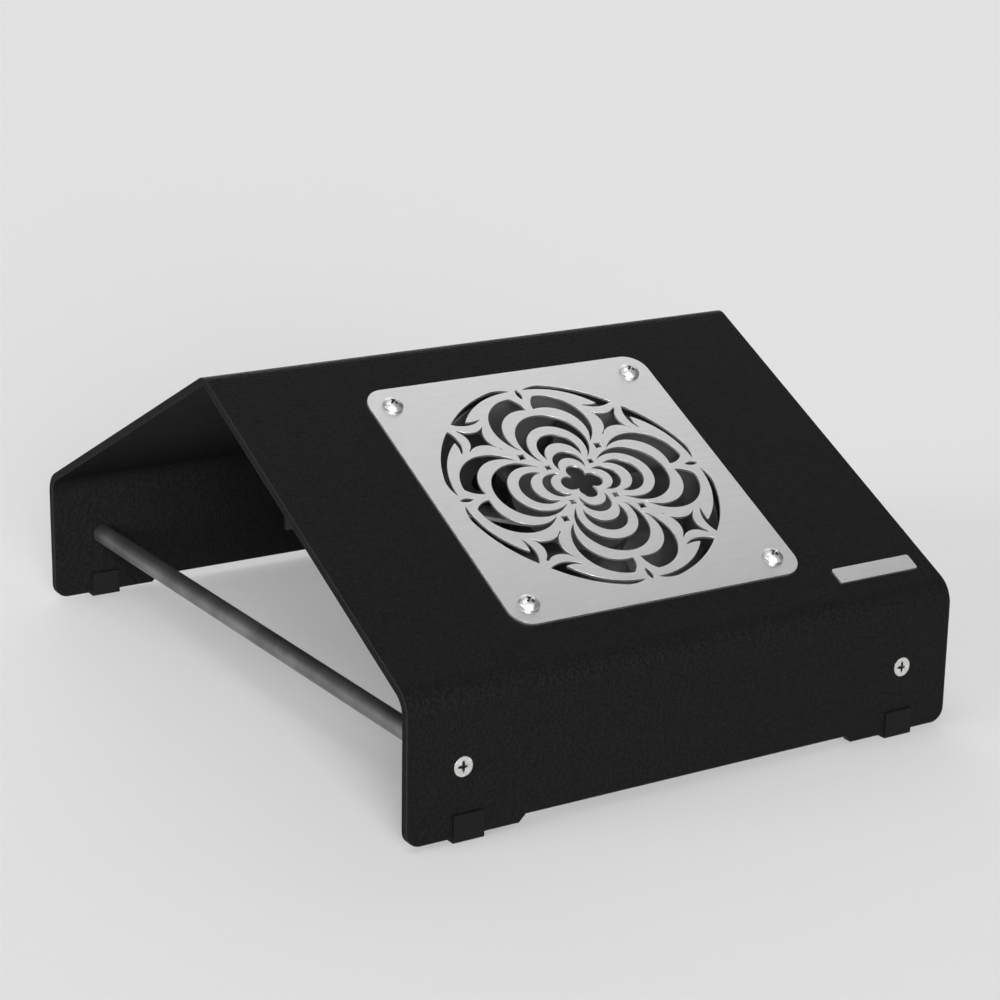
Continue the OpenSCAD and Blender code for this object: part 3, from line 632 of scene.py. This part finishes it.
def swept(path, closed, section, sides):
    """Points and faces of a round bead of radius section along a path."""
    points, faces = [], []
    count = len(path)
    for n in range(count):
        ahead = path[(n + 1) % count] if closed else path[min(n + 1, count - 1)]
        behind = path[n - 1] if closed else path[max(n - 1, 0)]
        along = (ahead - behind).normalized()
        out = (path[n] - BAG_HEART).normalized()
        side = along.cross(out).normalized()
        out = side.cross(along).normalized()
        for k in range(sides):
            a = 2 * math.pi * k / sides
            points.append(path[n] + section * (math.cos(a) * out + math.sin(a) * side))
    for n in range(count if closed else count - 1):
        m = (n + 1) % count
        for k in range(sides):
            q = (k + 1) % sides
            faces.append((n * sides + k, m * sides + k, m * sides + q, n * sides + q))
    if not closed:
        faces += [tuple(range(sides)), tuple(reversed(range((count - 1) * sides, count * sides)))]
    return points, faces


def stitches(path, lift):
    """Short beads along a path, one per stitch, each a little sunk at its ends."""
    points, faces = [], []
    length = sum((a - b).length for a, b in zip(path, path[1:]))
    stations = len(STITCH_RISES) + 1
    even = even_steps(path, int(length / STITCH_PITCH) * stations + 1)
    for n in range(0, len(even) - len(STITCH_RISES), stations):
        raised = []
        for m, rise in enumerate(STITCH_RISES):
            out = (even[n + m] - BAG_HEART).normalized()
            raised.append(even[n + m] + out * (lift + rise))
        more, rings = swept(raised, False, STITCH_R, 6)
        faces += [tuple(len(points) + v for v in ring) for ring in rings]
        points += more
    return points, faces


def joined(*parts):
    """The points and faces of several parts as one list each."""
    points, faces = [], []
    for more, rings in parts:
        faces += [tuple(len(points) + v for v in ring) for ring in rings]
        points += more
    return points, faces


def make_bag_trim(rows, materials):
    """Piping round the bottom panel, a bound seam down the back, and their stitching."""
    across = 2 * BINDING_HALF + 1
    points, faces = [], []
    for row in rows[HELD_ROWS:SEAM_ROW + 1]:
        for k in range(-BINDING_HALF, BINDING_HALF + 1):
            place = row[SEAM_COLUMN + k]
            proud = BINDING_PROUD if abs(k) < BINDING_HALF else BINDING_EDGE
            points.append(place + (place - BAG_HEART).normalized() * proud)
    for n in range(SEAM_ROW - HELD_ROWS):
        for k in range(across - 1):
            a = n * across + k
            faces.append((a, a + across, a + across + 1, a + 1))
    piping = joined(swept(rows[SEAM_ROW], True, PIPING_R, 10), (points, faces))
    new_piece("bag_piping", *piping, "elastic", materials["elastic"])
    above = rows[SEAM_ROW - 2]
    seams = [stitches(above + above[:1], STITCH_LIFT)]
    for side in (-1, 1):
        line = [row[SEAM_COLUMN + side] for row in rows[HELD_ROWS:SEAM_ROW]]
        seams.append(stitches(line, BINDING_PROUD + STITCH_LIFT))
    new_piece("bag_stitching", *joined(*seams), "bag_cloth", materials["thread"])


def cuff_channel(k):
    """How full the shirred band stands at a step of its height: three channels, flat between them."""
    return abs(math.sin(CUFF_CHANNELS * math.pi * k / CUFF_STEPS)) ** 0.6


def make_cuff(materials):
    """Elastic cuff: a shirred band with three channels, a ruffled upper edge and rows of stitches."""
    depths = [CUFF_TOP + CUFF_DEEP * k / CUFF_STEPS for k in range(CUFF_STEPS + 1)]
    points, faces = [], []
    for i in range(CUFF_TURNS):
        a = 2 * math.pi * i / CUFF_TURNS
        pucker = 0.5 + 0.5 * math.sin(CUFF_PUCKERS * a + 1.2 * math.sin(7 * a))
        flare = CUFF_FRILL_OUT * math.sin(CUFF_FRILLS * a + 0.8 * math.sin(5 * a))
        frills = [flare * max(0.0, 1 - k / CUFF_FRILL_STEPS) for k in range(CUFF_STEPS + 1)]
        for k, depth in enumerate(depths):
            radius = CUFF_OUT_R + cuff_channel(k) * CUFF_CHANNEL_PROUD * (1 + pucker) + frills[k]
            points.append(on_mouth(a, radius, depth))
        for k in range(CUFF_STEPS, -1, -1):
            points.append(on_mouth(a, CUFF_IN_R + 0.4 * frills[k], depths[k]))
    ring = 2 * (CUFF_STEPS + 1)
    for i in range(CUFF_TURNS):
        n = (i + 1) % CUFF_TURNS
        for k in range(ring):
            m = (k + 1) % ring
            faces.append((i * ring + k, i * ring + m, n * ring + m, n * ring + k))
    cuff = new_piece("bag_cuff_band", points, faces, "elastic", materials["elastic"])
    turns = [2 * math.pi * i / CUFF_TURNS for i in range(CUFF_TURNS + 1)]
    threads = []
    for channel in range(1, CUFF_CHANNELS):
        depth = depths[channel * CUFF_STEPS // CUFF_CHANNELS]
        line = [on_mouth(a, CUFF_OUT_R + CUFF_STITCH_LIFT, depth) for a in turns]
        threads.append(stitches(line, CUFF_STITCH_LIFT))
    new_piece("cuff_stitching", *joined(*threads), "elastic", materials["thread"])
    return cuff


def make_soft_goods(materials):
    bag, rows = make_bag(materials["bag_cloth"])
    make_bag_trim(rows, materials)
    cuff = make_cuff(materials)
    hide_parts("dust_bag")
    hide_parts("bag_cuff")


# ---------------------------------------------------------------- stage

FLOOR_HALF = 20
FLOOR_DROP = 0.0002
FLOOR_TONE = 0.34
FLOOR_GLOW = 0.245
WORLD_GLOW = 0.1
BACKDROP_HIGH = 12
BACKDROP_SUNK = 0.1
BACKDROP_GLOW = 0.74
# Each sun's direction from the object, its strength, and the angle that it fills in the sky
SUNS = {
    "top": ((-0.24, 0.04, 0.97), 0.95, 28),
    "back": ((0.5, 0.76, 0.52), 1.2, 66),
    "low": ((-0.36, -0.92, 0.23), 7.4, 30),
    "fill": ((-0.45, -0.7, 0.55), 0.4, 56),
    "side": ((-0.97, 0.1, 0.16), 3.6, 40),
    "rear": ((0.3, 0.94, 0.16), 1.6, 40),
    "glint": ((0.2, -0.5, 0.85), 0.1, 8),
}


def stage_piece(name, bm, height, tone, glow):
    """A matt object of the stage, with the grey that it has and the white light that it gives off."""
    mesh = bpy.data.meshes.new(name)
    bm.to_mesh(mesh)
    bm.free()
    piece = bpy.data.objects.new(name, mesh)
    piece.location.z = height
    scene.collection.objects.link(piece)
    t = Tree(name, (tone,) * 3, 1.0, Specular_IOR_Level=0.0)
    t.set("Emission Color", (1, 1, 1, 1))
    t.set("Emission Strength", glow)
    mesh.materials.append(t.done())
    return piece


def make_floor():
    """A light-table floor: it glows a little, so that its shadows stay as pale as in a product picture."""
    bm = bmesh.new()
    bmesh.ops.create_grid(bm, x_segments=4, y_segments=4, size=FLOOR_HALF)
    floor = stage_piece("floor", bm, -FLOOR_DROP, FLOOR_TONE, FLOOR_GLOW)


def make_backdrop():
    """A pale wall round the floor, seen in low views only: it neither lights the object nor shades it."""
    bm = bmesh.new()
    bmesh.ops.create_cone(bm, segments=96, radius1=FLOOR_HALF, radius2=FLOOR_HALF, depth=BACKDROP_HIGH)
    wall = stage_piece("backdrop", bm, BACKDROP_HIGH / 2 - BACKDROP_SUNK, 0, BACKDROP_GLOW)
    wall.visible_diffuse = wall.visible_glossy = wall.visible_transmission = wall.visible_shadow = False


def make_light():
    """A dim white sky, and the suns."""
    world = bpy.data.worlds.new("world")
    world.use_nodes = True
    world.node_tree.nodes["Background"].inputs["Color"].default_value = (1, 1, 1, 1)
    world.node_tree.nodes["Background"].inputs["Strength"].default_value = WORLD_GLOW
    scene.world = world
    scene.view_settings.view_transform = "Standard"
    for name, (towards, strength, spread) in SUNS.items():
        data = bpy.data.lights.new(name, "SUN")
        data.energy = strength
        data.angle = math.radians(spread)
        light = bpy.data.objects.new(name, data)
        light.rotation_mode = "QUATERNION"
        light.rotation_quaternion = Vector(towards).to_track_quat("Z", "Y")
        scene.collection.objects.link(light)


# ---------------------------------------------------------------- run

make_camera()
make_floor()
make_backdrop()
make_light()
materials = {slot: make() for slot, make in MATERIALS.items()}
dress_nodes(materials)
make_soft_goods(materials)
